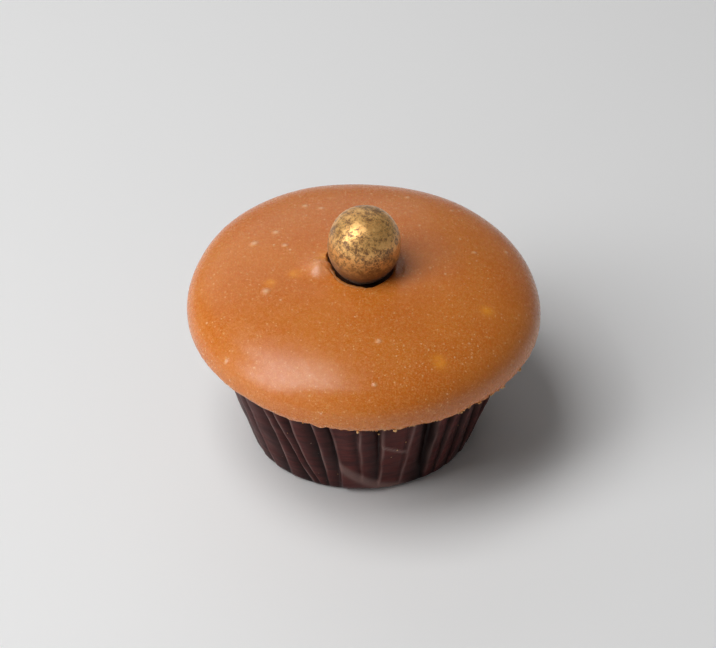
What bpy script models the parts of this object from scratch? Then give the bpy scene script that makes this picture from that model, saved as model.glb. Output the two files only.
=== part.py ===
"""Coffee cupcake: a pleated paper case, the sponge baked in it, a domed cap of coffee icing and one dusted chocolate ball.

Metres, +Z up. The origin is on the table, under the middle of the cake. The cake's front faces -Y.
"""

import math

import bmesh
import bpy

MM = 0.001
GAP = 0.3 * MM  # clearance between pieces that touch
MERGE_DISTANCE = 0.002 * MM

# Icing cap
CAP_RADIUS = 39.0 * MM
EQUATOR_HEIGHT = 32.0 * MM  # the cap's widest circle, above the table
DOME_RISE = 12.0 * MM  # from the widest circle to the crown
DOME_EXPONENT = 2.5  # 2 is an ellipse, more is flatter on top and rounder at the shoulder
RIM_DROP = 2.0 * MM  # from the widest circle down to the icing's lower edge
RIM_RADIUS = 38.3 * MM
RIM_WIDTH = 1.1 * MM  # the blunt lower edge of the icing
UNDERSIDE_DROP = 0.8 * MM  # the icing's inside is widest this far below its outside
CROWN_THICKNESS = 5.2 * MM
CAP_STEPS = 72
DOME_RINGS = 12

# Chocolate ball, an upright egg with blunt ends
BALL_RADIUS = 7.9 * MM
BALL_HALF_HEIGHT = 8.9 * MM
BALL_LIFT = 5.2 * MM  # its middle above the icing's crown
BALL_BLUNTNESS = 2.15
BALL_SEGMENTS = 28
BALL_RINGS = 18

# Hole in the icing that the ball is pressed into
SOCKET_MOUTH = 7.5 * MM
SOCKET_CLEARANCE = 0.75 * MM
SOCKET_ROWS = (0.0, 0.45, 0.8, 0.95)  # shares of its depth
LIP_WIDTH = 0.5 * MM  # flat ring round the mouth
LIP_TURN = 1.0 * MM  # from that ring out to the dome

# Paper case
BASE_RADIUS = 25.2 * MM
CASE_RIM_RADIUS = 32.4 * MM
CASE_HEIGHT = 29.0 * MM
PAPER = 0.3 * MM
PLEATS = 44
PLEAT_DEPTH_AT_BASE = 0.25 * MM  # ridge to valley
PLEAT_DEPTH_AT_RIM = 1.0 * MM
BASE_EDGE = 0.5 * MM  # the wall turns into the base within this much
WALL_BULGE = 0.3 * MM
WALL_ROWS = 5

# Sponge
SPONGE_INSET = 1.05 * MM  # behind the paper's outside, clear of its folds
CRUST_STEP = 0.9 * MM  # its mushroom top starts this far outside the paper's rim
CRUST_FULLNESS = 0.6 * MM  # how far the overhang's middle bulges out
CRUST_EDGE = 0.6 * MM
CRUST_DROP = 0.5 * MM  # it hangs this far below the icing's lower edge

# How the baked cake departs from a turned shape
LEAN = math.radians(1.7)  # the top leans towards +X
BASE_SQUARENESS = 0.016  # share of radius, at the base only, fullest between front and sides
BASE_SHIFT = 0.25 * MM  # the base sits this far towards -X
OUT_OF_ROUND = ((2, 0.0045, 4.44), (3, 0.0035, 5.99), (5, 0.0046, 1.64))  # waves, share of radius, phase

SPONGE_COLOUR = (0.50, 0.27, 0.10)
ICING_COLOUR = (0.53, 0.19, 0.045)
PAPER_COLOUR = (0.035, 0.010, 0.009)
GOLD_COLOUR = (0.46, 0.27, 0.08)


def clear_scene():
    for obj in list(bpy.data.objects):
        bpy.data.objects.remove(obj)


def material(name, colour, roughness, metallic=0.0):
    made = bpy.data.materials.new(name)
    made.use_nodes = True
    shader = made.node_tree.nodes["Principled BSDF"]
    shader.inputs["Base Color"].default_value = (*colour, 1.0)
    shader.inputs["Roughness"].default_value = roughness
    shader.inputs["Metallic"].default_value = metallic
    made.diffuse_color = (*colour, 1.0)
    return made


def smooth_share(value, low, high):
    """0 below low, 1 above high, with a soft turn between."""
    share = min(max((value - low) / (high - low), 0.0), 1.0)
    return share * share * (3.0 - 2.0 * share)


def settle(point):
    """Bends space a little, so that every piece departs from a turned shape in the same way."""
    angle = math.atan2(point.y, point.x)
    wave = sum(size * math.cos(turns * angle + phase) for turns, size, phase in OUT_OF_ROUND)
    low_down = 1.0 - smooth_share(point.z, 0.0, 0.6 * CASE_HEIGHT)
    scale = 1.0 + wave - BASE_SQUARENESS * math.cos(4.0 * angle) * low_down
    point.x = point.x * scale - BASE_SHIFT * low_down
    point.y *= scale
    point.z -= math.tan(LEAN) * point.x * smooth_share(point.z, 0.0, CASE_HEIGHT)


def dome_profile(radius, rise, base_height, rings):
    """(radius, height) from the widest circle up to the crown, along a superellipse."""
    points = []
    for ring in range(rings):
        turn = 0.5 * math.pi * ring / rings
        across = math.cos(turn) ** (2.0 / DOME_EXPONENT)
        up = math.sin(turn) ** (2.0 / DOME_EXPONENT)
        points.append((radius * across, base_height + rise * up))
    points.append((0.0, base_height + rise))
    return points


def wall_radius(height):
    """The paper's mean radius at a height: flaring, with a slight bulge where the cake pushed it out."""
    share = height / CASE_HEIGHT
    flare = BASE_RADIUS + (CASE_RIM_RADIUS - BASE_RADIUS) * share
    return flare + WALL_BULGE * math.sin(math.pi * min(share, 1.0))


def pleat_depth(height):
    share = height / CASE_HEIGHT
    return PLEAT_DEPTH_AT_BASE + (PLEAT_DEPTH_AT_RIM - PLEAT_DEPTH_AT_BASE) * share


def wall_heights(top):
    """Rows of the wall, from just above the base to its top."""
    return [BASE_EDGE + (top - BASE_EDGE) * row / WALL_ROWS for row in range(WALL_ROWS + 1)]


def turned_mesh(name, profile, steps):
    """The mesh that a (radius, height) profile makes when a Screw modifier turns it once round Z."""
    outline = bpy.data.meshes.new(name + "_outline")
    points = [(radius, 0.0, height) for radius, height in profile]
    outline.from_pydata(points, [(index, index + 1) for index in range(len(points) - 1)], [])
    turned = bpy.data.objects.new(name + "_outline", outline)
    bpy.context.scene.collection.objects.link(turned)
    screw = turned.modifiers.new("turn", "SCREW")
    screw.steps = steps
    screw.render_steps = steps
    screw.use_merge_vertices = True
    screw.merge_threshold = MERGE_DISTANCE
    evaluated = turned.evaluated_get(bpy.context.evaluated_depsgraph_get())
    mesh = bpy.data.meshes.new_from_object(evaluated)
    bpy.data.objects.remove(turned)
    bpy.data.meshes.remove(outline)
    mesh.name = name
    shape = bmesh.new()
    shape.from_mesh(mesh)
    bmesh.ops.remove_doubles(shape, verts=shape.verts[:], dist=MERGE_DISTANCE)
    bmesh.ops.recalc_face_normals(shape, faces=shape.faces[:])
    shape.to_mesh(mesh)
    shape.free()
    return mesh


def pleat(mesh, top):
    """Pushes every other column of a turned wall out and the ones between in, so that it is folded like a fan."""
    for vertex in mesh.vertices:
        height = vertex.co.z
        radius = math.hypot(vertex.co.x, vertex.co.y)
        if height > top or radius < 0.9 * BASE_RADIUS:
            continue
        column = round(math.atan2(vertex.co.y, vertex.co.x) / math.pi * PLEATS)
        side = 1.0 if column % 2 == 0 else -1.0
        scale = 1.0 + side * 0.5 * pleat_depth(height) / radius
        vertex.co.x *= scale
        vertex.co.y *= scale


def add_piece(collection, name, mesh, surface, sharp_degrees=30.0):
    for vertex in mesh.vertices:
        settle(vertex.co)
    mesh.shade_smooth()
    mesh.set_sharp_from_angle(angle=math.radians(sharp_degrees))
    mesh.materials.append(surface)
    obj = bpy.data.objects.new(name, mesh)
    collection.objects.link(obj)
    return obj


def paper_case(collection):
    """The case's outer skin, spun and folded, with its thickness added inwards."""
    profile = [(0.0, 0.0), (BASE_RADIUS - BASE_EDGE, 0.0)]
    profile += [(wall_radius(height), height) for height in wall_heights(CASE_HEIGHT)]
    mesh = turned_mesh("paper_case", profile, 2 * PLEATS)
    pleat(mesh, CASE_HEIGHT + GAP)
    base = min(mesh.polygons, key=lambda face: face.center.z)
    if base.normal.z > 0.0:
        mesh.flip_normals()
    case = add_piece(collection, "paper_case", mesh, material("brown_paper", PAPER_COLOUR, 0.45))
    thickness = case.modifiers.new("paper", "SOLIDIFY")
    thickness.thickness = PAPER
    thickness.offset = -1.0
    thickness.use_even_offset = True
    return case


def sponge_core(collection):
    """The baked sponge: the print of the folded paper below, and a mushroom top that the icing covers."""
    top = CASE_HEIGHT - GAP
    floor_height = PAPER + GAP
    profile = [(0.0, floor_height), (BASE_RADIUS - BASE_EDGE - SPONGE_INSET, floor_height)]
    profile += [(wall_radius(height) - SPONGE_INSET, height) for height in wall_heights(top)]
    shoulder = RIM_RADIUS - RIM_WIDTH - GAP
    hang_height = EQUATOR_HEIGHT - RIM_DROP - CRUST_DROP
    profile += [
        (wall_radius(top) - SPONGE_INSET, CASE_HEIGHT + GAP),
        (CASE_RIM_RADIUS + CRUST_STEP, CASE_HEIGHT + 2.0 * GAP),
        (0.5 * (CASE_RIM_RADIUS + shoulder) + CRUST_FULLNESS, hang_height),
        (shoulder - 0.5 * GAP, hang_height + CRUST_EDGE),
    ]
    rise = DOME_RISE - CROWN_THICKNESS - GAP
    profile += dome_profile(shoulder, rise, EQUATOR_HEIGHT - UNDERSIDE_DROP, DOME_RINGS // 2)
    mesh = turned_mesh("sponge", profile, 2 * PLEATS)
    pleat(mesh, top + 0.1 * GAP)
    return add_piece(collection, "sponge", mesh, material("baked_sponge", SPONGE_COLOUR, 0.85))


def ball_half_width(height):
    """The ball's radius at a height above its own middle, along a blunt-ended egg."""
    share = min(abs(height) / BALL_HALF_HEIGHT, 1.0)
    return BALL_RADIUS * (1.0 - share**BALL_BLUNTNESS) ** (1.0 / BALL_BLUNTNESS)


def socket_profile():
    """The hole in the icing, from the middle of its floor up to its mouth at the surface."""
    mouth = EQUATOR_HEIGHT + DOME_RISE
    middle = mouth + BALL_LIFT
    bottom = middle - BALL_HALF_HEIGHT - GAP
    points = [(0.0, bottom)]
    for share in reversed(SOCKET_ROWS):
        height = mouth + (bottom - mouth) * share
        width = ball_half_width(height + GAP - middle) + SOCKET_CLEARANCE
        points.append((min(width, SOCKET_MOUTH), height))
    return points


def icing_cap(collection):
    """The whole cap as one turned ring: socket, dome, blunt edge and underside."""
    lip_radius = SOCKET_MOUTH + LIP_WIDTH
    rings = dome_profile(CAP_RADIUS, DOME_RISE, EQUATOR_HEIGHT, DOME_RINGS)
    dome = [(lip_radius, EQUATOR_HEIGHT + DOME_RISE)]
    dome += [point for point in reversed(rings) if point[0] > lip_radius + LIP_TURN]
    inner_radius = RIM_RADIUS - RIM_WIDTH
    rim_height = EQUATOR_HEIGHT - RIM_DROP
    edge = [(RIM_RADIUS, rim_height), (inner_radius, rim_height)]
    rise = DOME_RISE - CROWN_THICKNESS
    underside = dome_profile(inner_radius, rise, EQUATOR_HEIGHT - UNDERSIDE_DROP, DOME_RINGS // 2)
    mesh = turned_mesh("icing", socket_profile() + dome + edge + underside, CAP_STEPS)
    return add_piece(collection, "icing", mesh, material("coffee_icing", ICING_COLOUR, 0.35))


def chocolate_ball(collection):
    """A UV sphere drawn up into a blunt-ended egg."""
    shape = bmesh.new()
    bmesh.ops.create_uvsphere(shape, u_segments=BALL_SEGMENTS, v_segments=BALL_RINGS, radius=1.0)
    middle = EQUATOR_HEIGHT + DOME_RISE + BALL_LIFT
    for vertex in shape.verts:
        across = math.hypot(vertex.co.x, vertex.co.y)
        height = vertex.co.z * BALL_HALF_HEIGHT
        scale = ball_half_width(height) / max(across, MERGE_DISTANCE)
        vertex.co = (vertex.co.x * scale, vertex.co.y * scale, middle + height)
    mesh = bpy.data.meshes.new("chocolate_ball")
    shape.to_mesh(mesh)
    shape.free()
    return add_piece(collection, "chocolate_ball", mesh, material("gold_dust", GOLD_COLOUR, 0.35, metallic=0.8))


def main():
    clear_scene()
    cupcake = bpy.data.collections.new("coffee_cupcake")
    bpy.context.scene.collection.children.link(cupcake)
    paper_case(cupcake)
    sponge_core(cupcake)
    icing_cap(cupcake)
    chocolate_ball(cupcake)


main()
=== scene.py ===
# Coffee cupcake: pleated paper case, sponge, domed coffee icing and a gold-dusted chocolate ball.
# Metres, +Z up. The cake's front faces -Y, and angles round it count from the front towards +X.

import math
import random

import bmesh
import bpy
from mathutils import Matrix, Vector, noise
from mathutils.bvhtree import BVHTree


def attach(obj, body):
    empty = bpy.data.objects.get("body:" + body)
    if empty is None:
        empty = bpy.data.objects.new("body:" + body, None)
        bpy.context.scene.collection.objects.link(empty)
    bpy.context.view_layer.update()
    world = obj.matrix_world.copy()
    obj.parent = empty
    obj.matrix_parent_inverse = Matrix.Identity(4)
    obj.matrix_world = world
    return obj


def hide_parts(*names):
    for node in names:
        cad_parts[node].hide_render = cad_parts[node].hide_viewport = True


mm = 0.001
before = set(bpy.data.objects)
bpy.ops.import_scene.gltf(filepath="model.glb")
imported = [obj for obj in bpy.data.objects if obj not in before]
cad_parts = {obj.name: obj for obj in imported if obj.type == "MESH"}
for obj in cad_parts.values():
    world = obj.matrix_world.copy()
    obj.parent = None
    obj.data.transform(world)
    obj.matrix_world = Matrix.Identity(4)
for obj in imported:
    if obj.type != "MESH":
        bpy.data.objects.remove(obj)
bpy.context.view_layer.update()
scene = bpy.context.scene
print("frame loaded:", sorted(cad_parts))


def ease(value, low, high):
    share = min(max((value - low) / (high - low), 0.0), 1.0)
    return share * share * (3.0 - 2.0 * share)


def bell(distance, width):
    return math.exp(-(distance / width) ** 2)


def mix(a, b, share):
    return a + (b - a) * share


def grain(co, size, seed=0.0):
    # smooth noise from -1 to 1 whose lumps are about "size" across
    return noise.noise(Vector((co[0] / size + seed, co[1] / size - seed, co[2] / size + 0.5 * seed)))


def frontAngle(co):
    # degrees from the front, positive to the right
    return math.degrees(math.atan2(co.x, -co.y))


def angleApart(a, b):
    # degrees from b to a the short way round
    return (a - b + 180.0) % 360.0 - 180.0


def evenly(points, spacing):
    # the same polyline with its points an even distance apart
    lengths = [0.0]
    for a, b in zip(points, points[1:]):
        lengths.append(lengths[-1] + math.hypot(b[0] - a[0], b[1] - a[1]))
    count = max(1, round(lengths[-1] / spacing))
    result = []
    index = 0
    for step in range(count + 1):
        wanted = lengths[-1] * step / count
        while index < len(points) - 2 and lengths[index + 1] < wanted:
            index += 1
        span = lengths[index + 1] - lengths[index]
        share = (wanted - lengths[index]) / span if span > 0 else 0.0
        a, b = points[index], points[index + 1]
        result.append((mix(a[0], b[0], share), mix(a[1], b[1], share)))
    return result


def joined(*runs):
    # runs of points one after another, without the doubled point where they meet
    points = list(runs[0])
    for run in runs[1:]:
        points += run[1:] if math.dist(points[-1], run[0]) < 0.01 * mm else run
    return points


def turned(profile, steps):
    # spins a (radius, height) profile once round Z
    bm = bmesh.new()
    chain = [bm.verts.new((radius, 0.0, height)) for radius, height in profile]
    edges = [bm.edges.new(pair) for pair in zip(chain, chain[1:])]
    bmesh.ops.spin(bm, geom=chain + edges, cent=(0, 0, 0), axis=(0, 0, 1),
                   angle=math.tau, steps=steps, use_merge=True)
    bmesh.ops.remove_doubles(bm, verts=bm.verts[:], dist=0.002 * mm)
    bmesh.ops.recalc_face_normals(bm, faces=bm.faces[:])
    bm.normal_update()
    return bm


# How the baked cake departs from a turned shape, the same for every piece of it
cake = {
    "lean": math.tan(math.radians(1.7)),   # the top leans towards +X
    "caseHeight": 29.0 * mm,
    "baseSquareness": 0.016,
    "baseShift": 0.25 * mm,
    "waves": ((2, 0.0045, 4.44), (3, 0.0035, 5.99), (5, 0.0046, 1.64)),   # turns, share of radius, phase
}


def settle(co):
    angle = math.atan2(co.y, co.x)
    wave = sum(size * math.cos(turns * angle + phase) for turns, size, phase in cake["waves"])
    lowDown = 1.0 - ease(co.z, 0.0, 0.6 * cake["caseHeight"])
    scale = 1.0 + wave - cake["baseSquareness"] * math.cos(4.0 * angle) * lowDown
    co.x = co.x * scale - cake["baseShift"] * lowDown
    co.y *= scale
    co.z -= cake["lean"] * co.x * ease(co.z, 0.0, cake["caseHeight"])


def finishPiece(name, bm, material, nodes=(), warped=True):
    if warped:
        for vert in bm.verts:
            settle(vert.co)
    mesh = bpy.data.meshes.new(name)
    bm.to_mesh(mesh)
    bm.free()
    mesh.shade_smooth()
    mesh.materials.append(material)
    piece = bpy.data.objects.new(name, mesh)
    scene.collection.objects.link(piece)
    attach(piece, "root")
    if nodes:
        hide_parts(*nodes)
    print(name, len(mesh.polygons), "faces")
    return piece


def newMaterial(name):
    material = bpy.data.materials.new(name)
    material.use_nodes = True
    tree = material.node_tree
    return material, tree, tree.nodes["Principled BSDF"]


def addNode(tree, kind, values=None, **settings):
    # values are sockets to link from, or plain values
    node = tree.nodes.new("ShaderNode" + kind)
    for key, value in settings.items():
        setattr(node, key, value)
    for key, value in (values or {}).items():
        if isinstance(value, bpy.types.NodeSocket):
            tree.links.new(value, node.inputs[key])
        else:
            node.inputs[key].default_value = value
    return node


def objectCoords(tree):
    return addNode(tree, "TexCoord").outputs["Object"]


def noiseOf(tree, coords, scale, detail=3.0, roughness=0.5, distortion=0.0):
    node = addNode(tree, "TexNoise", {"Vector": coords, "Scale": scale, "Detail": detail,
                                      "Roughness": roughness, "Distortion": distortion})
    return node.outputs["Fac"]


def ramp(tree, value, low, high, fromValue=0.0, toValue=1.0):
    node = addNode(tree, "MapRange", {"Value": value, "From Min": low, "From Max": high,
                                      "To Min": fromValue, "To Max": toValue},
                   interpolation_type="SMOOTHSTEP")
    return node.outputs["Result"]


def blend(tree, share, a, b):
    node = addNode(tree, "Mix", data_type="RGBA", clamp_factor=True)
    for socket, value in ((node.inputs[0], share), (node.inputs[6], a), (node.inputs[7], b)):
        if isinstance(value, bpy.types.NodeSocket):
            tree.links.new(value, socket)
        elif isinstance(value, tuple):
            socket.default_value = (*value, 1.0)
        else:
            socket.default_value = value
    return node.outputs[2]


def math2(tree, operation, a, b=0.0, clamp=False):
    node = addNode(tree, "Math", {0: a, 1: b}, operation=operation, use_clamp=clamp)
    return node.outputs[0]


def tint(tree, share, strength, colour, other):
    # lays another colour over a part of the surface
    return blend(tree, math2(tree, "MULTIPLY", share, strength), colour, other)


def attribute(tree, name):
    return addNode(tree, "Attribute", attribute_name=name).outputs["Fac"]


def bump(tree, height, distance, strength=1.0, normal=None):
    values = {"Height": height, "Distance": distance, "Strength": strength}
    if normal:
        values["Normal"] = normal
    return addNode(tree, "Bump", values).outputs["Normal"]


def setFloat(bm, layerName, function):
    layer = bm.verts.layers.float.get(layerName) or bm.verts.layers.float.new(layerName)
    for vert in bm.verts:
        vert[layer] = function(vert.co)


view = {
    "target": Vector((0.0, 0.0, 32.0 * mm)),
    "elevation": 40.5,
    "distance": 0.78,
    "lens": 177.7,
    "aside": -1.17 * mm,    # how far right of the target the camera aims
    "above": -3.80 * mm,    # and how far above it
}


def makeCamera():
    tilt = math.radians(view["elevation"])
    back = Vector((0.0, -math.cos(tilt), math.sin(tilt)))
    up = Vector((0.0, math.sin(tilt), math.cos(tilt)))
    place = view["target"] + back * view["distance"]
    aim = view["target"] + Vector((view["aside"], 0.0, 0.0)) + up * view["above"]
    data = bpy.data.cameras.new("camera")
    data.lens = view["lens"]
    data.clip_start = 0.01
    data.clip_end = 20.0
    camera = bpy.data.objects.new("camera", data)
    camera.location = place
    camera.rotation_euler = (aim - place).to_track_quat("-Z", "Y").to_euler()
    scene.collection.objects.link(camera)
    scene.camera = camera


def makeFloor():
    bm = bmesh.new()
    bmesh.ops.create_grid(bm, x_segments=8, y_segments=8, size=3.0)
    bmesh.ops.translate(bm, verts=bm.verts[:], vec=(0, 0, -0.05 * mm))
    mesh = bpy.data.meshes.new("floor")
    bm.to_mesh(mesh)
    bm.free()
    material, tree, shader = newMaterial("paleFloor")
    shader.inputs["Base Color"].default_value = (0.92, 0.92, 0.92, 1.0)
    shader.inputs["Roughness"].default_value = 0.7
    mesh.materials.append(material)
    floor = bpy.data.objects.new("floor", mesh)
    scene.collection.objects.link(floor)


studio = {
    "horizon": 0.28, "zenith": 0.07, "fadesBy": 0.50,   # the pale room: bright low down, dim overhead
    # name, degrees from the front to the right, degrees up, distance, width, height, watts
    "lights": (
        ("highBox", -82.0, 69.0, 0.9, 0.55, 0.50, 3.8),
        ("middleBox", -66.0, 43.0, 0.9, 0.42, 0.45, 2.5),
        ("lowBox", -66.0, 20.0, 0.9, 0.36, 0.46, 1.3),
        ("backBox", -162.0, 30.0, 0.9, 0.90, 0.50, 0.9),
        ("frontBox", -28.0, 26.0, 0.9, 0.60, 0.50, 0.3),
    ),
}


def makeWorld():
    world = bpy.data.worlds.new("studio")
    scene.world = world
    world.use_nodes = True
    tree = world.node_tree
    background = tree.nodes["Background"]
    background.inputs["Color"].default_value = (1.0, 1.0, 1.0, 1.0)
    direction = addNode(tree, "TexCoord").outputs["Generated"]
    height = addNode(tree, "SeparateXYZ", {"Vector": direction}).outputs["Z"]
    strength = ramp(tree, height, 0.0, studio["fadesBy"], studio["horizon"], studio["zenith"])
    tree.links.new(strength, background.inputs["Strength"])


def makeLights():
    for name, side, up, distance, width, height, watts in studio["lights"]:
        a, e = math.radians(side), math.radians(up)
        direction = Vector((math.sin(a) * math.cos(e), -math.cos(a) * math.cos(e), math.sin(e)))
        data = bpy.data.lights.new(name, "AREA")
        data.shape = "RECTANGLE"
        data.size = width
        data.size_y = height
        data.energy = watts
        light = bpy.data.objects.new(name, data)
        light.location = view["target"] + direction * distance
        light.rotation_euler = direction.to_track_quat("Z", "Y").to_euler()
        scene.collection.objects.link(light)


makeCamera()
makeFloor()
makeWorld()
makeLights()
scene.view_settings.view_transform = "Standard"
print("camera, floor and lights")


# The coffee icing: a glaze dome, a socket torn open for the ball, and a broken lower edge
icing = {
    "radius": 39.0 * mm, "equator": 32.0 * mm, "rise": 12.0 * mm, "squareness": 2.5,
    "mouth": 7.75 * mm, "socketFloor": 40.0 * mm,
    "steps": 420, "spacing": 0.34 * mm,
    "swell": 0.16 * mm, "ripple": 0.035 * mm,
    "mound": (-9.6 * mm, -1.1 * mm, 2.6 * mm, 1.45 * mm),   # x, y, spread and height of the lifted lip
    "moundPaintedHighlight": (-10.0 * mm, -2.0 * mm, 2.0 * mm, 0.5),   # x, y, spread and strength of the painted highlight on it
    # outline of the torn hole: degrees from the front, distance from the middle in mm
    "hole": ((-180, 7.8), (-140, 8.0), (-115, 8.9), (-100, 8.2), (-82, 7.75), (-62, 7.6),
             (-50, 7.9), (-36, 7.9), (-22, 7.8), (-2, 7.7), (12, 7.55), (24, 7.3),
             (36, 7.05), (50, 6.9), (72, 6.8), (90, 6.85), (135, 7.5), (180, 7.8)),
    "ledge": (-80.0, 16.0, 6.8 * mm, 0.30 * mm),   # where the glaze chipped: from, to, inner edge, depth
    # bubbles: distance from the middle (mm), angle, size (mm), height (mm)
    "bubbles": (
        (25.9, -110, 1.25, 0.18), (18.8, -112, 0.95, 0.14), (22.6, -69, 1.15, 0.18),
        (23.6, 8, 0.80, 0.13), (33.9, 4, 0.62, 0.14), (37.8, -51, 0.60, 0.12),
        (23.0, -122, 1.10, 0.12), (26.0, -150, 0.95, 0.12), (23.2, -156, 0.85, 0.10),
        (25.7, 107, 0.62, 0.10), (33.5, 109, 0.70, 0.10), (14.6, 90, 0.45, 0.07),
        (31.4, 47, 0.40, 0.06), (29.0, 160, 0.70, 0.10), (30.5, 140, 0.55, 0.09),
        (20.0, 178, 0.6, 0.08),
    ),
    # thin places with a painted orange glow, standing for light shining through the icing: distance, angle,
    # size
    "paintedGlowPlaces": ((29.2, 67, 1.6), (32.0, 31, 1.9), (15.2, -79, 1.5), (8.9, -104, 2.2), (21.0, -75, 1.4)),
    "colour": (0.63, 0.172, 0.015), "deep": (0.60, 0.148, 0.010), "pale": (0.95, 0.47, 0.17),
    "paintedGlow": (0.95, 0.36, 0.03), "filmAndHighlight": (0.92, 0.55, 0.31), "crumb": (0.80, 0.40, 0.12),
    # the socket colour is painted shade: dark brown on the deep wall of the hole, where shade falls
    "inside": (0.55, 0.21, 0.05), "socket": (0.13, 0.038, 0.010),
    "smallSpeck": (0.98, 0.60, 0.30), "largeSpeck": (1.0, 0.68, 0.42),
    "grainScale": 3300, "cloudScale": 70, "smallSpeckScale": 1500, "largeSpeckScale": 560,
    "roughness": 0.265, "subsurface": 0.15, "subsurfaceScale": 1.4 * mm, "ior": 1.55,
}


def domeHeight(radius):
    share = min(radius / icing["radius"], 1.0)
    power = icing["squareness"]
    return icing["equator"] + icing["rise"] * (1.0 - share ** power) ** (1.0 / power)


def domeRun():
    # the outside from the lip to the widest circle
    points = []
    for step in range(241):
        turn = math.radians(90.0 * step / 240)
        power = 2.0 / icing["squareness"]
        radius = icing["radius"] * max(math.sin(turn), 0.0) ** power
        height = icing["equator"] + icing["rise"] * max(math.cos(turn), 0.0) ** power
        if radius > icing["mouth"] + 1.3 * mm:
            points.append((radius, height))
    return points


def polar(distance, angle):
    a = math.radians(angle)
    return Vector((distance * math.sin(a), -distance * math.cos(a), 0.0))


def flatDistance(co, place):
    return math.hypot(co.x - place.x, co.y - place.y)


def lipRun():
    # from the wall of the hole over its lip to the dome
    mouth, crown = icing["mouth"], icing["equator"] + icing["rise"]
    points = [(7.35 * mm, 42.8 * mm), (mouth - 0.08 * mm, crown - 0.45 * mm),
              (mouth + 0.02 * mm, crown - 0.2 * mm), (mouth + 0.2 * mm, crown - 0.06 * mm),
              (mouth + 0.55 * mm, crown), domeRun()[0]]
    return evenly(points, 0.13 * mm)


def icingProfile():
    socket = [(0.0, icing["socketFloor"]), (3.0 * mm, icing["socketFloor"] + 0.05 * mm),
              (5.4 * mm, 40.8 * mm), (6.7 * mm, 41.8 * mm), (7.35 * mm, 42.8 * mm)]
    rim = [(39.0 * mm, 32.0 * mm), (38.97 * mm, 31.6 * mm), (38.88 * mm, 31.2 * mm),
           (38.72 * mm, 30.8 * mm), (38.45 * mm, 30.42 * mm), (38.1 * mm, 30.15 * mm),
           (37.7 * mm, 30.02 * mm), (37.3 * mm, 30.08 * mm), (37.05 * mm, 30.3 * mm),
           (36.95 * mm, 30.7 * mm)]
    inside = []
    for step in range(13):
        turn = math.radians(90.0 * step / 12)
        inside.append((36.9 * mm * math.cos(turn) ** 0.8 if step < 12 else 0.0,
                       31.2 * mm + 6.8 * mm * math.sin(turn) ** 0.8))
    return joined(evenly(socket, 0.9 * mm), lipRun(), evenly(domeRun(), icing["spacing"]),
                  evenly(rim, 0.2 * mm), inside)


def isOutside(co, radius):
    return co.z > domeHeight(radius) - 0.9 * mm and radius > icing["mouth"] - 0.1 * mm or radius > 36.97 * mm


def refineBubbles(bm):
    # more edges where a bubble is too small for the rings
    for distance, angle, size, height in icing["bubbles"]:
        place = polar(distance * mm, angle)
        near = {vert for vert in bm.verts if flatDistance(vert.co, place) < 1.5 * size * mm
                and isOutside(vert.co, vert.co.xy.length)}
        edges = [edge for edge in bm.edges if edge.verts[0] in near and edge.verts[1] in near]
        bmesh.ops.subdivide_edges(bm, edges=edges, cuts=1, use_grid_fill=True)
    bm.normal_update()


def holeRadius(angle):
    # the torn outline, smooth at the right where the ball leans on it
    outline = icing["hole"]
    for (a, near), (b, far) in zip(outline, outline[1:]):
        if angle <= b:
            break
    radius = mix(near, far, ease(angle, a, b)) * mm
    torn = 0.25 + 0.75 * ease(angle, -130.0, -100.0) * (1.0 - ease(angle, 10.0, 40.0))
    ring = polar(8.0 * mm, angle)
    return radius + torn * (0.20 * grain(ring, 1.5 * mm, 1.3) + 0.14 * grain(ring, 0.5 * mm, 5.9)) * mm


def ledgeShare(angle):
    start, end = icing["ledge"][:2]
    return ease(angle, start, start + 12.0) * (1.0 - ease(angle, end - 22.0, end))


def holePlace(co, radius, angle, lip):
    # where a point near the mouth goes: the plain lip, or a chipped ledge with a sharp edge above it
    lengths = [math.dist((radius, co.z), point) for point in lip]
    row = lengths.index(min(lengths)) / (len(lip) - 1)
    edge = holeRadius(angle)
    crown = icing["equator"] + icing["rise"]
    last = lip[-1]
    fade = 1.0 - ease(row, 0.45, 1.0)
    follow = fade if row > 0 else ease(co.z, 41.5 * mm, 42.8 * mm)
    plain = (radius + (edge - icing["mouth"]) * follow, co.z)
    inner, depth = icing["ledge"][2:]
    ring = Vector((co.x, co.y, 0.0))
    floor = crown - depth + 0.07 * mm * grain(ring, 0.6 * mm, 3.6)
    inner += 0.12 * mm * grain(polar(7.0 * mm, angle), 1.2 * mm, 8.1)
    # share of the way from the wall to the dome, radius, height
    shape = ((0.0, inner, 42.9 * mm), (0.18, inner + 0.02 * mm, floor - 0.14 * mm),
             (0.26, inner + 0.14 * mm, floor), (0.62, edge - 0.03 * mm, floor + 0.04 * mm),
             (0.72, edge + 0.02 * mm, crown - 0.05 * mm), (0.80, edge + 0.14 * mm, crown),
             (1.0, last[0], last[1]))
    for a, b in zip(shape, shape[1:]):
        if row <= b[0]:
            break
    share = (row - a[0]) / (b[0] - a[0])
    chipped = (mix(a[1], b[1], share), mix(a[2], b[2], share))
    if radius > last[0] + 0.02 * mm or co.z < 42.7 * mm:
        chipped = plain
    amount = ledgeShare(angle)
    return mix(plain[0], chipped[0], amount), mix(plain[1], chipped[1], amount)


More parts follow.
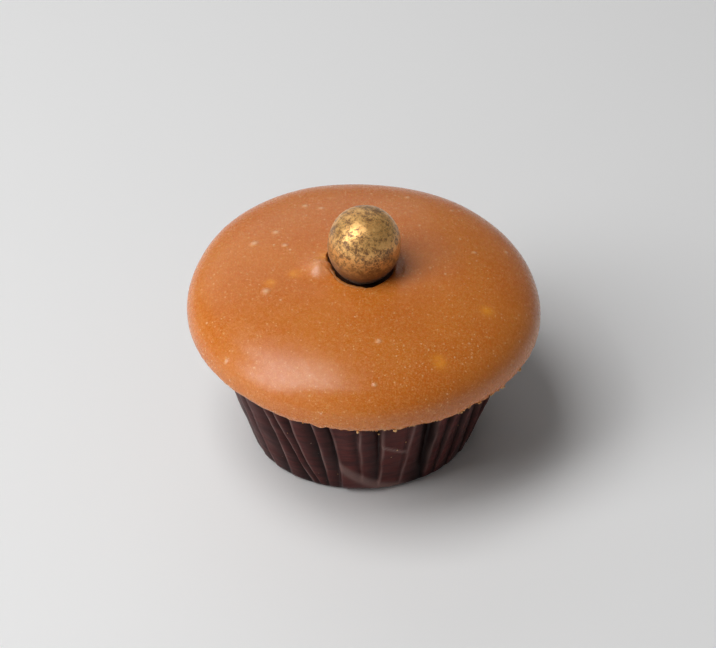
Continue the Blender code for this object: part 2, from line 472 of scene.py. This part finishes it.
def shapeIcing(bm):
    lip = lipRun()
    moundX, moundY, moundSpread, moundHeight = icing["mound"]
    moundPlace = Vector((moundX, moundY, 0.0))
    bubblePlaces = [(polar(d * mm, a), s * mm, h * mm) for d, a, s, h in icing["bubbles"]]
    moves = []
    for vert in bm.verts:
        co = vert.co
        radius = co.xy.length
        move = Vector((0.0, 0.0, 0.0))
        outside = isOutside(co, radius)
        angle = frontAngle(co)
        if outside:
            awayFromLip = ease(radius, 9.0 * mm, 14.0 * mm)
            lift = icing["swell"] * grain(co, 17 * mm, 3.1) * awayFromLip
            lift += icing["ripple"] * grain(co, 5.5 * mm, 7.7)
            lift += moundHeight * bell(flatDistance(co, moundPlace), moundSpread)
            for place, size, height in bubblePlaces:
                apart = flatDistance(co, place)
                if apart < 2.5 * size:
                    lift += height * (bell(apart, 0.62 * size) - 0.5 * bell(apart, 0.25 * size)
                                      - 0.25 * bell(apart - 1.1 * size, 0.3 * size))
            move += vert.normal * lift
        if radius < 9.4 * mm and co.z > 41.5 * mm:
            place = holePlace(co, radius, angle, lip)
            outward = Vector((co.x, co.y, 0.0)).normalized()
            move += outward * (place[0] - radius)
            move.z += place[1] - co.z
        # the lower edge is broken, most at the right
        nearEdge = 1.0 - ease(co.z, 30.3 * mm, 31.6 * mm)
        if radius > 36.8 * mm and nearEdge > 0:
            rough = 0.45 + 0.55 * ease(angle, -45.0, 10.0) * (1.0 - ease(angle, 120.0, 170.0))
            flat = Vector((co.x, co.y, 30.0 * mm))
            scallops = 0.55 * grain(flat, 3.4 * mm, 2.2) + 0.40 * grain(flat, 1.3 * mm, 8.8)
            outward = Vector((co.x, co.y, 0.0)).normalized()
            move.z += (0.35 * mm * grain(flat, 8.0 * mm, 4.4) + rough * scallops * mm) * nearEdge
            move += outward * rough * nearEdge * (0.25 * grain(co, 1.2 * mm, 6.1)) * mm
        moves.append(move)
    for vert, move in zip(bm.verts, moves):
        vert.co += move


def paintIcing(bm):
    bubblePlaces = [(polar(d * mm, a), s * mm) for d, a, s, h in icing["bubbles"]]
    paintedGlowPlaces = [(polar(d * mm, a), s * mm) for d, a, s in icing["paintedGlowPlaces"]]

    def bubbleAndHighlightShare(co):
        if co.z < 33.0 * mm:
            return 0.0
        # the pale edge above the chip
        torn = 0.8 * ledgeShare(frontAngle(co)) * bell(co.xy.length - 7.95 * mm, 0.10 * mm)
        # a painted highlight on the lifted lip, in the bubbles' pale colour
        shineX, shineY, spread, strength = icing["moundPaintedHighlight"]
        mound = strength * bell(math.hypot(co.x - shineX, 0.8 * (co.y - shineY)), spread)
        bubbles = sum(bell(flatDistance(co, place), 0.6 * size) for place, size in bubblePlaces
                      if flatDistance(co, place) < 3.0 * size)
        return min(1.0, torn + mound + bubbles)

    # painted glow where light shines through thin icing
    def paintedGlowShare(co):
        if co.z < 33.0 * mm:
            return 0.0
        patchy = 0.75 + 0.5 * grain(co, 1.5 * mm, 3.3)
        places = sum(bell(flatDistance(co, place), 0.8 * size) for place, size in paintedGlowPlaces
                     if flatDistance(co, place) < 3.0 * size)
        return min(1.0, patchy * places)

    def edgeShare(co):
        return (1.0 - ease(co.z, 30.0 * mm, 30.75 * mm)) * ease(co.xy.length, 37.5 * mm, 38.0 * mm)

    def ledgePaint(co):
        radius = co.xy.length
        if radius > 9.0 * mm or co.z < 41.0 * mm:
            return 0.0
        inside = 1.0 - ease(radius, icing["mouth"] - 0.02 * mm, icing["mouth"] + 0.10 * mm)
        return inside * (0.35 + 0.65 * ledgeShare(frontAngle(co)))

    # painted shade: 1 on the deep wall of the socket, fading out above it
    def socketShadeShare(co):
        if co.xy.length > 9.0 * mm or co.z < 39.0 * mm:
            return 0.0
        return 1.0 - ease(co.z, 42.85 * mm, 43.2 * mm)

    setFloat(bm, "ledge", ledgePaint)
    setFloat(bm, "socket", socketShadeShare)
    setFloat(bm, "bubbleAndHighlight", bubbleAndHighlightShare)
    setFloat(bm, "thin", paintedGlowShare)
    setFloat(bm, "brokenEdge", edgeShare)


def specks(tree, coords, scale, share, radius):
    # dots on a share of the cells of a Voronoi pattern, of mixed sizes
    cells = addNode(tree, "TexVoronoi", {"Vector": coords, "Scale": scale, "Randomness": 1.0})
    chosen = addNode(tree, "SeparateColor", {"Color": cells.outputs["Color"]}).outputs[0]
    size = ramp(tree, chosen, 1.0 - share, 1.0, 0.0, radius)
    return math2(tree, "LESS_THAN", cells.outputs["Distance"], size)


def icingMaterial():
    material, tree, shader = newMaterial("coffeeIcing")
    coords = objectCoords(tree)
    cloudy = ramp(tree, noiseOf(tree, coords, icing["cloudScale"], 3.0), 0.35, 0.65)
    colour = blend(tree, cloudy, icing["colour"], icing["deep"])
    # fine sandy grain of sugar and coffee
    fine = noiseOf(tree, coords, icing["grainScale"], 2.0, 0.6)
    colour = blend(tree, ramp(tree, fine, 0.46, 0.66, 0.0, 0.40), colour, icing["pale"])
    # single pale specks, small ones everywhere and a few larger
    small = specks(tree, coords, icing["smallSpeckScale"], 0.45, 0.30)
    large = specks(tree, coords, icing["largeSpeckScale"], 0.16, 0.17)
    colour = tint(tree, small, 0.50, colour, icing["smallSpeck"])
    colour = tint(tree, large, 0.50, colour, icing["largeSpeck"])
    # painted glow of light shining through thin icing
    colour = tint(tree, attribute(tree, "thin"), 0.85, colour, icing["paintedGlow"])
    # pale bubbles and torn edge, plus a painted highlight on the lifted lip
    colour = tint(tree, attribute(tree, "bubbleAndHighlight"), 0.75, colour, icing["filmAndHighlight"])
    colour = tint(tree, attribute(tree, "brokenEdge"), 0.7, colour, icing["crumb"])
    colour = blend(tree, attribute(tree, "ledge"), colour, icing["inside"])
    # painted shade on the deep wall of the socket
    colour = blend(tree, attribute(tree, "socket"), colour, icing["socket"])
    tree.links.new(colour, shader.inputs["Base Color"])
    # glossy outside, dull in the socket
    rough = ramp(tree, noiseOf(tree, coords, 900, 2.0), 0.3, 0.7,
                 icing["roughness"] - 0.04, icing["roughness"] + 0.07)
    dull = math2(tree, "MULTIPLY", attribute(tree, "socket"), 0.5)
    tree.links.new(math2(tree, "ADD", rough, dull), shader.inputs["Roughness"])
    shader.inputs["Subsurface Weight"].default_value = icing["subsurface"]
    shader.inputs["Subsurface Radius"].default_value = (1.0, 0.35, 0.12)
    shader.inputs["Subsurface Scale"].default_value = icing["subsurfaceScale"]
    shader.inputs["IOR"].default_value = icing["ior"]
    soft = bump(tree, noiseOf(tree, coords, 600, 3.0), 0.012 * mm, 0.5)
    grainy = bump(tree, fine, 0.010 * mm, 0.6, soft)
    tree.links.new(bump(tree, large, 0.008 * mm, 0.4, grainy), shader.inputs["Normal"])
    return material


def makeIcing():
    bm = turned(icingProfile(), icing["steps"])
    refineBubbles(bm)
    paintIcing(bm)
    shapeIcing(bm)
    return finishPiece("icingCap", bm, icingMaterial(), ("icing",))


makeIcing()


# The chocolate ball: a blunt egg with worn gold dust
ball = {
    "radius": 8.05 * mm, "topHeight": 8.9 * mm, "lowHeight": 9.1 * mm, "middle": 49.2 * mm,
    "topBluntness": 2.42, "lowBluntness": 1.72, "lean": 0.035, "aside": 0.12 * mm,
    "segments": 150, "rings": 112, "dents": 0.08 * mm, "pits": 0.12 * mm,
    "gold": (1.0, 0.58, 0.20), "bronze": (0.86, 0.44, 0.13), "chocolate": (0.150, 0.068, 0.025),
    "paintedLowShade": (0.21, 0.084, 0.014), "bareFrom": 0.455, "bareTo": 0.57,
    "goldRoughness": 0.38, "specular": 0.3, "coat": 0.28, "coatRoughness": 0.30,
    "sheen": 0.12, "sheenRoughness": 0.35,
}


def shapeBall(bm):
    for vert in bm.verts:
        co = vert.co.copy()
        across = co.xy.length
        turn = math.atan2(co.z, across)
        power = 2.0 / (ball["topBluntness"] if co.z > 0 else ball["lowBluntness"])
        width = ball["radius"] * max(math.cos(turn), 0.0) ** power
        height = abs(math.sin(turn)) ** power * (ball["topHeight"] if co.z > 0 else -ball["lowHeight"])
        scale = width / across if across > 1e-6 else 0.0
        vert.co = Vector((co.x * scale + ball["lean"] * height + ball["aside"], co.y * scale, height))
    bm.normal_update()
    for vert in bm.verts:
        lift = ball["dents"] * grain(vert.co, 5.0 * mm, 2.7)
        lift = lift + 0.35 * ball["dents"] * grain(vert.co, 1.8 * mm, 6.3)
        pit = max(0.0, grain(vert.co, 0.9 * mm, 11.0) - 0.45)
        vert.co += vert.normal * (lift - 0.5 * ball["dents"] - ball["pits"] * pit)
    bmesh.ops.translate(bm, verts=bm.verts[:], vec=(0, 0, ball["middle"]))


def ballMaterial():
    material, tree, shader = newMaterial("goldDust")
    coords = objectCoords(tree)
    broad = noiseOf(tree, coords, 170, 2.0, 0.5, 0.4)
    middling = noiseOf(tree, coords, 860, 4.0, 0.65, 0.4)
    fine = noiseOf(tree, coords, 2900, 3.0, 0.7)
    # where the dust is rubbed thin: broad patches broken up by small specks
    thin = math2(tree, "MULTIPLY", broad, 0.30)
    thin = math2(tree, "ADD", thin, math2(tree, "MULTIPLY", middling, 0.38))
    thin = math2(tree, "ADD", thin, math2(tree, "MULTIPLY", fine, 0.32))
    height = addNode(tree, "SeparateXYZ", {"Vector": coords}).outputs["Z"]
    lowDown = ramp(tree, height, 44.8 * mm, 53.5 * mm, 1.0, 0.0)    # painted shade: darker, barer and less metallic towards the bottom
    patches = math2(tree, "ADD", thin, math2(tree, "MULTIPLY", lowDown, 0.035))
    bare = ramp(tree, patches, ball["bareFrom"], ball["bareTo"])
    lustre = blend(tree, ramp(tree, middling, 0.35, 0.60), ball["gold"], ball["bronze"])
    colour = tint(tree, bare, 0.92, lustre, ball["chocolate"])
    # painted shade on the lower side of the ball
    colour = tint(tree, lowDown, 0.88, colour, ball["paintedLowShade"])
    tree.links.new(colour, shader.inputs["Base Color"])
    metal = ramp(tree, bare, 0.0, 1.0, 0.60, 0.12)
    metal = math2(tree, "SUBTRACT", metal, math2(tree, "MULTIPLY", lowDown, 0.45), True)
    tree.links.new(metal, shader.inputs["Metallic"])
    rough = ramp(tree, fine, 0.3, 0.7, ball["goldRoughness"] - 0.05, ball["goldRoughness"] + 0.08)
    tree.links.new(rough, shader.inputs["Roughness"])
    # a thin sugar glaze under the dust, which greys the edges
    shader.inputs["Specular IOR Level"].default_value = ball["specular"]
    shader.inputs["Coat Weight"].default_value = ball["coat"]
    shader.inputs["Coat Roughness"].default_value = ball["coatRoughness"]
    shader.inputs["Sheen Weight"].default_value = ball["sheen"]
    shader.inputs["Sheen Roughness"].default_value = ball["sheenRoughness"]
    dusty = bump(tree, thin, 0.05 * mm, 0.5)
    tree.links.new(bump(tree, fine, 0.02 * mm, 0.5, dusty), shader.inputs["Normal"])
    return material


def makeBall():
    bm = bmesh.new()
    bmesh.ops.create_uvsphere(bm, u_segments=ball["segments"], v_segments=ball["rings"], radius=1.0)
    shapeBall(bm)
    return finishPiece("goldBall", bm, ballMaterial(), ("chocolate_ball",))


makeBall()


# The sponge fills the case, and its crumb shows under the icing
sponge = {
    "steps": 360, "pores": 0.22 * mm, "lumps": 0.2 * mm,
    "pale": (0.52, 0.28, 0.11), "toasted": (0.34, 0.155, 0.055), "poreShade": (0.20, 0.085, 0.03),
    "roughness": 0.85, "subsurface": 0.1, "subsurfaceScale": 0.8 * mm,
}


def spongeProfile():
    core = [(0.0, 0.6 * mm), (22.4 * mm, 0.6 * mm), (23.0 * mm, 1.4 * mm),
            (25.8 * mm, 14.0 * mm), (29.8 * mm, 28.4 * mm)]
    overhang = [(29.8 * mm, 28.4 * mm), (30.6 * mm, 29.3 * mm), (33.3 * mm, 29.6 * mm),
                (34.9 * mm, 29.55 * mm), (36.2 * mm, 29.75 * mm), (36.75 * mm, 30.2 * mm),
                (36.6 * mm, 31.0 * mm)]
    top = []
    for step in range(13):
        turn = math.radians(90.0 * step / 12)
        top.append((36.5 * mm * math.cos(turn) ** 0.8 if step < 12 else 0.0,
                    31.2 * mm + 6.4 * mm * math.sin(turn) ** 0.8))
    return joined(evenly(core, 3.0 * mm), evenly(overhang, 0.22 * mm), top)


def makeSponge():
    bm = turned(spongeProfile(), sponge["steps"])
    for vert in bm.verts:
        co = vert.co
        radius = co.xy.length
        if radius < 30.4 * mm or co.z > 31.0 * mm:
            continue
        lift = sponge["lumps"] * grain(co, 2.2 * mm, 1.9)
        lift += 0.5 * sponge["lumps"] * grain(co, 0.8 * mm, 4.2)
        lift -= sponge["pores"] * ease(grain(co, 1.0 * mm, 9.9), 0.25, 0.6)
        vert.co += vert.normal * lift
    return finishPiece("spongeCake", bm, spongeMaterial(), ("sponge",))


def spongeMaterial():
    material, tree, shader = newMaterial("bakedSponge")
    coords = objectCoords(tree)
    crust = ramp(tree, noiseOf(tree, coords, 350, 4.0, 0.6), 0.35, 0.65)
    colour = blend(tree, crust, sponge["pale"], sponge["toasted"])
    # pores: a darker colour in the bumped-down recesses, painted shade
    pores = ramp(tree, noiseOf(tree, coords, 1400, 3.0, 0.6), 0.3, 0.5)
    colour = blend(tree, pores, sponge["poreShade"], colour)
    tree.links.new(colour, shader.inputs["Base Color"])
    shader.inputs["Roughness"].default_value = sponge["roughness"]
    shader.inputs["Subsurface Weight"].default_value = sponge["subsurface"]
    shader.inputs["Subsurface Radius"].default_value = (1.0, 0.5, 0.25)
    shader.inputs["Subsurface Scale"].default_value = sponge["subsurfaceScale"]
    tree.links.new(bump(tree, pores, 0.15 * mm, 0.8), shader.inputs["Normal"])
    return material


makeSponge()


# The paper case: uneven pleats at the front, regular ones round the rest
paper = {
    "baseRadius": 25.2 * mm, "rimRadius": 32.4 * mm, "height": 29.0 * mm, "bulge": 0.3 * mm,
    "thickness": 0.12 * mm, "columns": 14, "rowSpacing": 0.58 * mm,
    "depthAtBase": 0.2 * mm, "depthAtRim": 2.1 * mm, "pleatWidth": 8.2,
    # pleats at the front, where the paper was handled: angle of the ridge at the rim, halfway down and
    # at the base, how deep its right side folds, and the share of it that is pressed flat
    "frontPleats": (
        (-65.0, -61.0, -56.5, 1.0, 0.0), (-57.5, -53.5, -46.5, 1.0, 0.0), (-48.0, -39.7, -36.5, 1.2, 0.1),
        (-40.5, -33.2, -23.5, 1.15, 0.0), (-31.0, -27.7, -19.8, 1.0, 0.1), (-21.3, -17.9, -15.5, 1.0, 0.0),
        (-14.0, -10.6, -8.5, 0.4, 0.6), (-1.5, -0.8, 1.0, 0.9, 0.0), (7.2, 8.0, 8.4, 0.25, 0.85),
        (20.8, 19.6, 18.8, 1.3, 0.0), (32.9, 32.4, 32.6, 1.0, 0.3), (41.5, 40.0, 39.0, 0.9, 0.1),
        (50.0, 49.0, 47.5, 1.0, 0.0),
    ),
    # the slanting fold low at the front: angle, height in mm there, slope and bend of its line
    "foldLine": (-9.5, 10.2, -0.62, 0.0105), "foldStep": 0.8 * mm, "foldSoftness": 0.8 * mm,
    # the short crease across the wide panel: angle, height in mm there, slope
    "creaseLine": (8.0, 17.9, -0.33), "creaseHeight": 0.22 * mm, "creaseWidth": 0.45 * mm,
    # the narrow dark pocket beside it: angle, height in mm there, slope, spread
    "pocketLine": (28.7, 22.0, 0.12, 2.9), "pocketDepth": 0.7 * mm,
    "dents": (0.20 * mm, 0.09 * mm), "crestHeight": 0.12 * mm,
    "dark": (0.050, 0.0085, 0.0078), "red": (0.100, 0.0165, 0.0135), "wearAndHighlight": (0.30, 0.19, 0.17),
    "fibre": (0.11, 0.062, 0.055), "foldShade": (0.005, 0.0014, 0.0014), "dust": (0.30, 0.19, 0.14),
    "roughness": 0.40, "specular": 0.12,
}


def paperRadius(height):
    share = height / paper["height"]
    bulge = paper["bulge"] * math.sin(math.pi * min(share, 1.0))
    return mix(paper["baseRadius"], paper["rimRadius"], share) + bulge


def pleatList():
    pleats = list(paper["frontPleats"])
    first, last = pleats[0][0] + 360.0, pleats[-1][0]
    count = round((first - last) / paper["pleatWidth"])
    dice = random.Random(11)
    for index in range(1, count):
        angle = last + (first - last) * index / count + dice.uniform(-1.2, 1.2)
        slant = dice.uniform(-1.0, 3.0)
        pleats.append((angle, angle + 0.5 * slant + dice.uniform(-0.6, 0.6), angle + slant,
                       dice.uniform(0.8, 1.25), dice.choice((0.0, 0.0, 0.15, 0.4))))
    return pleats


def ridgeAngle(pleats, index, share):
    # a smooth line through the three angles, with a little wander
    turn, place = divmod(index, len(pleats))
    top, middle, foot = pleats[place][:3]
    down = 1.0 - share
    slope = 4.0 * middle - 3.0 * top - foot
    bend = 2.0 * top + 2.0 * foot - 4.0 * middle
    angle = top + slope * down + bend * down * down
    wander = 0.45 * noise.noise(Vector((share * 4.0, place * 5.1, 4.0)))
    return angle + wander + 360.0 * turn


def pleatFold(place, flat):
    # 0 on the ridges and 1 in the valley, which lies close to the next ridge
    valley = 0.86
    if place < valley:
        return max(0.0, (place / valley - flat) / (1.0 - flat)) ** 2.0
    return ((1.0 - place) / (1.0 - valley)) ** 0.9


def makePaper():
    pleats = pleatList()
    steps = len(pleats) * paper["columns"]
    height = paper["height"]
    base = [(radius * mm, 0.0) for radius in (0.0, 8.0, 16.0, 20.0, 22.5, 23.6)]
    corner = [(23.6 * mm, 0.0), (24.3 * mm, 0.02 * mm), (24.75 * mm, 0.12 * mm),
              (25.05 * mm, 0.35 * mm), (25.3 * mm, 0.8 * mm)]
    low = 0.8 * mm
    rows = round((height - low) / paper["rowSpacing"])
    levels = [low + (height - low) * row / rows for row in range(rows + 1)]
    wall = [(paperRadius(level), level) for level in levels]
    bm = turned(joined(base, evenly(corner, 0.3 * mm), wall), steps)
    creaseAndHighlightLayer = bm.verts.layers.float.new("creaseAndHighlight")
    foldShadeLayer = bm.verts.layers.float.new("fold")
    for vert in bm.verts:
        co = vert.co
        radius = co.xy.length
        if radius < 15.0 * mm:
            continue
        share = co.z / height
        column = round(math.atan2(co.y, co.x) / math.tau * steps) % steps
        index, part = divmod(column, paper["columns"])
        left = ridgeAngle(pleats, index, share)
        right = ridgeAngle(pleats, index + 1, share)
        place = 1.0 - (1.0 - part / paper["columns"]) ** 1.5    # columns crowd towards the next ridge
        angle = mix(left, right, place)
        depthShare, flat = pleats[index][3:]
        width = (right - left) / paper["pleatWidth"]
        front = angleApart(angle, 0.0)
        # the slanting fold presses the pleats flat below its line
        lineAngle, lineStart, slope, bend = paper["foldLine"]
        along = front - lineAngle
        lineHeight = (lineStart + slope * along + bend * along ** 2) * mm
        band = ease(front, -11.5, -8.5) * (1.0 - ease(front, 14.0, 26.0))
        softness = paper["foldSoftness"]
        below = band * (1.0 - ease(co.z, lineHeight - softness, lineHeight + softness))
        fold = pleatFold(place, flat) * (1.0 - 0.92 * below)
        depth = mix(paper["depthAtBase"], paper["depthAtRim"], share)
        depth *= depthShare * min(1.2, 0.4 + 0.6 * width)
        onBase = ease(radius, 15.0 * mm, 24.0 * mm) if co.z < 0.3 * mm else 1.0
        offset = 0.45 * paper["depthAtRim"] * share - depth * fold
        # the crest of a ridge stands a little proud
        crest = bell(place * width, 0.07) + bell((1.0 - place) * width, 0.07)
        offset += paper["crestHeight"] * crest * ease(share, 0.0, 0.2) * (1.0 - below)
        # soft dents from handling
        broad, small = paper["dents"]
        dents = broad * grain(co, 6.5 * mm, 3.0) + small * grain(co, 2.4 * mm, 5.0)
        offset += dents * mix(0.3, 1.0, ease(share, 0.0, 0.3))
        offset += paper["foldStep"] * below * ease(co.z, 0.0, 2.5 * mm)
        # the crease across the wide panel
        lineAngle, lineStart, slope = paper["creaseLine"]
        creaseLevel = (lineStart + slope * (front - lineAngle)) * mm
        level = ease(front, 6.5, 9.0) * (1.0 - ease(front, 17.5, 20.0))
        level *= bell(co.z - creaseLevel, paper["creaseWidth"])
        offset += paper["creaseHeight"] * level
        # the pocket beside it
        lineAngle, lineStart, slope, spread = paper["pocketLine"]
        pocket = bell(front - (lineAngle + slope * (lineStart - co.z / mm)), spread)
        pocket *= ease(co.z, 4.5 * mm, 9.0 * mm)
        offset -= paper["pocketDepth"] * pocket
        a = math.radians(angle)
        newRadius = radius + offset * onBase * ease(co.z, -0.3 * mm, 1.2 * mm)
        lift = 0.12 * mm * fold * onBase if co.z < 0.3 * mm else 0.0
        vert.co = Vector((newRadius * math.sin(a), -newRadius * math.cos(a), co.z + lift))
        # ridge edges: pale wear plus a painted highlight, fading on the right, away from the light
        wearAndHighlight = min(1.0, max(0.1, 0.55 + 0.9 * noise.noise(Vector((share * 5.0, index * 2.3, 1.0)))))
        edge = bell(min(place, 1.0 - place) * width, 0.075)
        wearAndHighlight *= (1.0 - below) * (1.0 - 0.6 * ease(front, 24.0, 44.0))
        # painted highlight along the upper edge of the slanting fold
        above, under = max(0.0, co.z - lineHeight), max(0.0, lineHeight - co.z)
        shine = band * bell(above, 0.9 * mm) * bell(under, 1.6 * mm)
        vert[creaseAndHighlightLayer] = min(1.0, 0.8 * edge * wearAndHighlight * ease(share, 0.0, 0.10) + 0.8 * level + shine)
        # painted shade in the pleat valleys and the pocket
        vert[foldShadeLayer] = min(1.0, (fold * depthShare) ** 0.55 + 1.3 * pocket)
        vert[foldShadeLayer] *= 1.0 - 0.9 * shine
    bmesh.ops.recalc_face_normals(bm, faces=bm.faces[:])
    bmesh.ops.reverse_faces(bm, faces=bm.faces[:])    # outwards, because the cup is open
    piece = finishPiece("paperCase", bm, paperMaterial(), ("paper_case",))
    wallThickness = piece.modifiers.new("thickness", "SOLIDIFY")
    wallThickness.thickness = paper["thickness"]
    wallThickness.offset = -1.0
    return piece


def paperMaterial():
    material, tree, shader = newMaterial("brownPaper")
    coords = objectCoords(tree)
    # long thin fibres that run round the case
    around = addNode(tree, "Mapping", {"Vector": coords, "Scale": (1.0, 1.0, 7.0)})
    patchy = ramp(tree, noiseOf(tree, around.outputs["Vector"], 130, 5.0, 0.65), 0.36, 0.64)
    colour = blend(tree, patchy, paper["dark"], paper["red"])
    streaks = noiseOf(tree, around.outputs["Vector"], 420, 4.0, 0.65)
    colour = blend(tree, ramp(tree, streaks, 0.52, 0.78, 0.0, 0.35), colour, paper["fibre"])
    # painted shade in the folds
    colour = tint(tree, attribute(tree, "fold"), 0.92, colour, paper["foldShade"])
    # pale wear on ridges and the crease, with painted highlights on ridges and the slanting fold
    colour = tint(tree, attribute(tree, "creaseAndHighlight"), 0.75, colour, paper["wearAndHighlight"])
    # dust
    cells = addNode(tree, "TexVoronoi", {"Vector": coords, "Scale": 620.0, "Randomness": 1.0})
    chosen = addNode(tree, "SeparateColor", {"Color": cells.outputs["Color"]}).outputs[0]
    dust = math2(tree, "LESS_THAN", cells.outputs["Distance"], ramp(tree, chosen, 0.86, 1.0, 0.0, 0.14))
    colour = tint(tree, dust, 0.5, colour, paper["dust"])
    tree.links.new(colour, shader.inputs["Base Color"])
    shader.inputs["Specular IOR Level"].default_value = paper["specular"]
    rough = ramp(tree, streaks, 0.3, 0.7, paper["roughness"] - 0.06, paper["roughness"] + 0.1)
    tree.links.new(rough, shader.inputs["Roughness"])
    crinkle = bump(tree, noiseOf(tree, coords, 350, 3.0), 0.14 * mm, 0.4)
    tree.links.new(bump(tree, streaks, 0.035 * mm, 0.55, crinkle), shader.inputs["Normal"])
    return material


paperCase = makePaper()


# Crumbs, in millimetres where no unit is named
crumbs = {
    "seed": 5, "count": 340, "size": (0.10 * mm, 0.27 * mm),
    # bigger lumps stuck to the icing's edge: degrees from the front, height, size
    "lumps": ((62.0, 30.9 * mm, 0.50 * mm), (68.5, 31.7 * mm, 0.42 * mm), (33.0, 30.25 * mm, 0.42 * mm),
              (41.0, 30.2 * mm, 0.36 * mm), (10.0, 30.05 * mm, 0.40 * mm), (-2.0, 30.05 * mm, 0.34 * mm),
              (52.0, 30.3 * mm, 0.38 * mm)),
    # single ones on the paper: degrees from the front, height, size
    "onPaper": ((6.5, 21.6, 0.30), (17.9, 18.0, 0.16), (14.3, 16.0, 0.16), (12.1, 13.4, 0.12),
                (-33.0, 17.5, 0.12), (46.0, 15.0, 0.12), (-12.0, 6.0, 0.10)),
    # loose ones on the icing: distance, degrees from the front, size
    "onIcing": ((8.7, 86.0, 0.20), (8.3, 2.0, 0.16), (8.9, 79.0, 0.13), (8.6, -8.0, 0.12), (9.4, 92.0, 0.10)),
    "pale": (0.86, 0.56, 0.27), "toasted": (0.72, 0.36, 0.12), "roughness": 0.75,
}


def addCrumb(bm, place, size, dice):
    made = bmesh.ops.create_icosphere(bm, subdivisions=1, radius=1.0)["verts"]
    stretch = Vector((dice.uniform(0.7, 1.3), dice.uniform(0.7, 1.3), dice.uniform(0.6, 1.0)))
    spin = dice.uniform(0.0, math.tau)
    for vert in made:
        co = vert.co * (1.0 + dice.uniform(-0.28, 0.28)) * size
        co = Vector((co.x * stretch.x, co.y * stretch.y, co.z * stretch.z))
        x = co.x * math.cos(spin) - co.y * math.sin(spin)
        y = co.x * math.sin(spin) + co.y * math.cos(spin)
        vert.co = Vector((x, y, co.z)) + place


def settled(co):
    place = co.copy()
    settle(place)
    return place


def makeCrumbs(case):
    dice = random.Random(crumbs["seed"])
    bm = bmesh.new()
    made = 0
    while made < crumbs["count"]:
        angle = dice.uniform(-180.0, 180.0)
        wanted = 0.12 + 0.88 * ease(angle, -14.0, 12.0) * (1.0 - ease(angle, 70.0, 120.0))
        clump = 0.5 + 0.9 * noise.noise(Vector((angle * 0.16, 2.0, 7.0)))
        if dice.random() > wanted * clump:
            continue
        turn = dice.uniform(-0.15, 1.0)
        place = polar(mix(37.7, 38.55, turn) * mm, angle)
        waver = grain(Vector((place.x, place.y, 30.0 * mm)), 8.0 * mm, 4.4)
        place.z = mix(30.0, 30.45, turn ** 2 if turn > 0 else 0.0) * mm + 0.35 * mm * waver
        small, big = crumbs["size"]
        addCrumb(bm, settled(place), mix(small, big, dice.random() ** 2), dice)
        made += 1
    for angle, height, size in crumbs["lumps"]:
        for part in range(3):
            place = polar(38.55 * mm + 0.15 * size, angle + dice.uniform(-0.7, 0.7))
            place.z = height + dice.uniform(-0.3, 0.3) * size
            addCrumb(bm, settled(place), size * dice.uniform(0.55, 0.9), dice)
    surface = BVHTree.FromObject(case, bpy.context.evaluated_depsgraph_get())
    for angle, height, size in crumbs["onPaper"]:
        outside = polar(45.0 * mm, angle)
        outside.z = height * mm
        hit = surface.ray_cast(outside, -Vector((outside.x, outside.y, 0.0)).normalized())[0]
        addCrumb(bm, hit, size * mm, dice)
    for distance, angle, size in crumbs["onIcing"]:
        place = polar(distance * mm, angle)
        place.z = domeHeight(distance * mm) + 0.3 * size * mm
        addCrumb(bm, settled(place), size * mm, dice)
    bmesh.ops.recalc_face_normals(bm, faces=bm.faces[:])
    material, tree, shader = newMaterial("crumb")
    coords = objectCoords(tree)
    toasted = ramp(tree, noiseOf(tree, coords, 450, 3.0), 0.35, 0.65)
    tree.links.new(blend(tree, toasted, crumbs["pale"], crumbs["toasted"]), shader.inputs["Base Color"])
    shader.inputs["Roughness"].default_value = crumbs["roughness"]
    tree.links.new(bump(tree, noiseOf(tree, coords, 4000, 2.0), 0.05 * mm, 0.5), shader.inputs["Normal"])
    return finishPiece("crumbs", bm, material, (), False)


makeCrumbs(paperCase)
